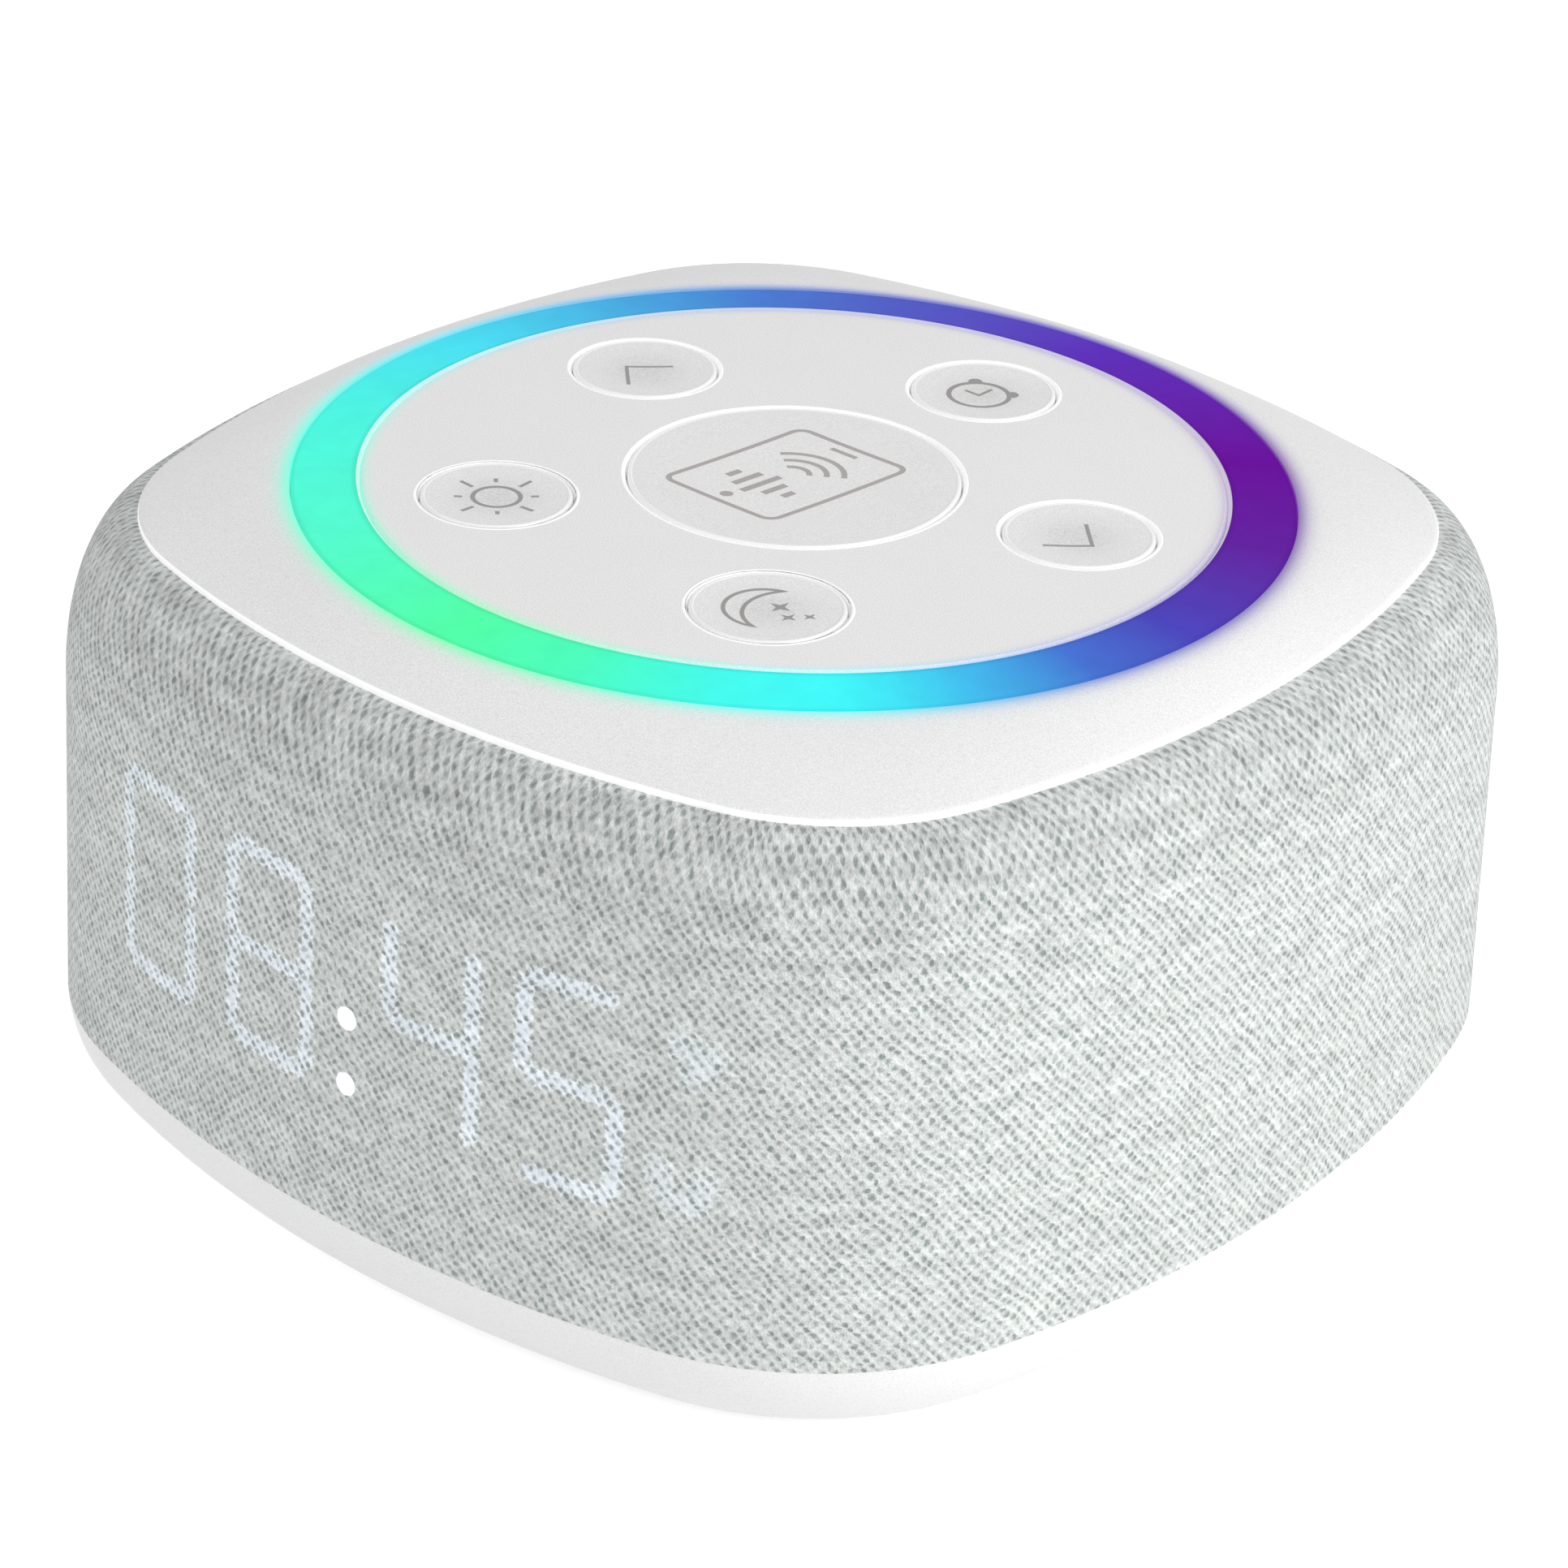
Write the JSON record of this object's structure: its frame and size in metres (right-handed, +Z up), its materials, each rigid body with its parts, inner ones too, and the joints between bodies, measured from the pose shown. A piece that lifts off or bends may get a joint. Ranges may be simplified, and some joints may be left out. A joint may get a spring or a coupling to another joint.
{
  "type": "white noise sound machine",
  "caption": "Squircle tabletop sound machine: fabric wall, white deck with a light ring round press buttons, clock behind the fabric, upward speaker on a chassis inside.",
  "frame": {"origin": "centre of the underside, on the surface that the feet stand on", "axes": "+Z up; the clock display faces -Y; the power inlet faces +Y; +X is to the right of someone who reads the clock"},
  "size_m": [0.111, 0.111, 0.056],
  "materials": {
    "shell_white": "fine-grained matt moulded white plastic",
    "knit_fabric": "pale grey polyester mesh with a diagonal hole pattern",
    "panel_white": "fine-grained matt white plastic",
    "button_white": "fine-grained matt white plastic with a smooth bevel",
    "ring_diffuser": "milky diffuser that glows in changing colours",
    "frame_plastic": "moulded light grey plastic",
    "display_white": "moulded white light guide block",
    "segment_lens": "milky light windows",
    "foot_rubber": "grey silicone rubber",
    "gasket_foam": "black foam rubber",
    "surround_rubber": "black moulded rubber",
    "screw_steel": "zinc-plated steel",
    "zinc_steel": "zinc-plated steel",
    "inlet_steel": "drawn stainless steel",
    "basket_steel": "black-painted pressed steel",
    "magnet_ferrite": "dark sintered ferrite",
    "spider_cloth": "resin-stiffened corrugated cloth",
    "cone_paper": "black pressed paper",
    "coil_copper": "enamelled copper wire on a former",
    "led_package": "white package with a clear window",
    "circuit_board": "green solder mask",
    "switch_plastic": "dark moulded plastic",
    "chip_black": "black moulded epoxy",
    "can_aluminium": "drawn aluminium can",
    "socket_ivory": "ivory nylon",
    "ribbon_ivory": "flat ribbon insulation",
    "lead_insulation": "red lead insulation"
  },
  "bodies": {
    "root": {"bottom_shell": "shell_white", "foot_pads": "foot_rubber", "long_screws": "screw_steel", "grille_frame": "frame_plastic", "fabric_wrap": "knit_fabric", "deck_plate": "shell_white", "light_ring": "ring_diffuser", "ring_carrier": "frame_plastic", "ring_leds": "led_package", "button_panel": "panel_white", "switch_housings": "switch_plastic", "control_board": "circuit_board", "carrier_screws": "screw_steel", "control_board_screws": "screw_steel", "chassis": "frame_plastic", "speaker_gasket": "gasket_foam", "speaker_basket": "basket_steel", "speaker_screws": "screw_steel", "speaker_front_plate": "zinc_steel", "speaker_magnet": "magnet_ferrite", "speaker_yoke": "zinc_steel", "speaker_surround": "surround_rubber", "speaker_spider": "spider_cloth", "display_block": "display_white", "segment_lenses": "segment_lens", "display_board": "circuit_board", "display_leds": "led_package", "main_board": "circuit_board", "main_board_screws": "screw_steel", "main_chips": "chip_black", "capacitors": "can_aluminium", "power_inlet": "inlet_steel", "board_sockets": "socket_ivory", "control_ribbon": "ribbon_ivory", "display_ribbon": "ribbon_ivory", "speaker_leads": "lead_insulation"},
    "mode_key": {"mode_button": "button_white", "mode_plunger": "chip_black"},
    "next_key": {"next_button": "button_white", "next_plunger": "chip_black"},
    "alarm_key": {"alarm_button": "button_white", "alarm_plunger": "chip_black"},
    "previous_key": {"previous_button": "button_white", "previous_plunger": "chip_black"},
    "brightness_key": {"brightness_button": "button_white", "brightness_plunger": "chip_black"},
    "sleep_key": {"sleep_button": "button_white", "sleep_plunger": "chip_black"},
    "cone": {"speaker_cone": "cone_paper", "dust_cap": "cone_paper", "voice_coil": "coil_copper"}
  },
  "joints": [
    {"name": "mode_press", "type": "slide", "parent": "root", "child": "mode_key", "axis": [0, 0, -1], "range_m": [0, 0.0005], "stiffness_N_per_m": 1500, "springref_m": -0.0005},
    {"name": "next_press", "type": "slide", "parent": "root", "child": "next_key", "axis": [0, 0, -1], "range_m": [0, 0.0005], "stiffness_N_per_m": 1500, "springref_m": -0.0005},
    {"name": "alarm_press", "type": "slide", "parent": "root", "child": "alarm_key", "axis": [0, 0, -1], "range_m": [0, 0.0005], "stiffness_N_per_m": 1500, "springref_m": -0.0005},
    {"name": "previous_press", "type": "slide", "parent": "root", "child": "previous_key", "axis": [0, 0, -1], "range_m": [0, 0.0005], "stiffness_N_per_m": 1500, "springref_m": -0.0005},
    {"name": "brightness_press", "type": "slide", "parent": "root", "child": "brightness_key", "axis": [0, 0, -1], "range_m": [0, 0.0005], "stiffness_N_per_m": 1500, "springref_m": -0.0005},
    {"name": "sleep_press", "type": "slide", "parent": "root", "child": "sleep_key", "axis": [0, 0, -1], "range_m": [0, 0.0005], "stiffness_N_per_m": 1500, "springref_m": -0.0005},
    {"name": "cone_move", "type": "slide", "parent": "root", "child": "cone", "axis": [0, 0, 1], "range_m": [-0.001, 0.001], "stiffness_N_per_m": 1500, "deforming": ["speaker_surround", "speaker_spider"]}
  ]
}
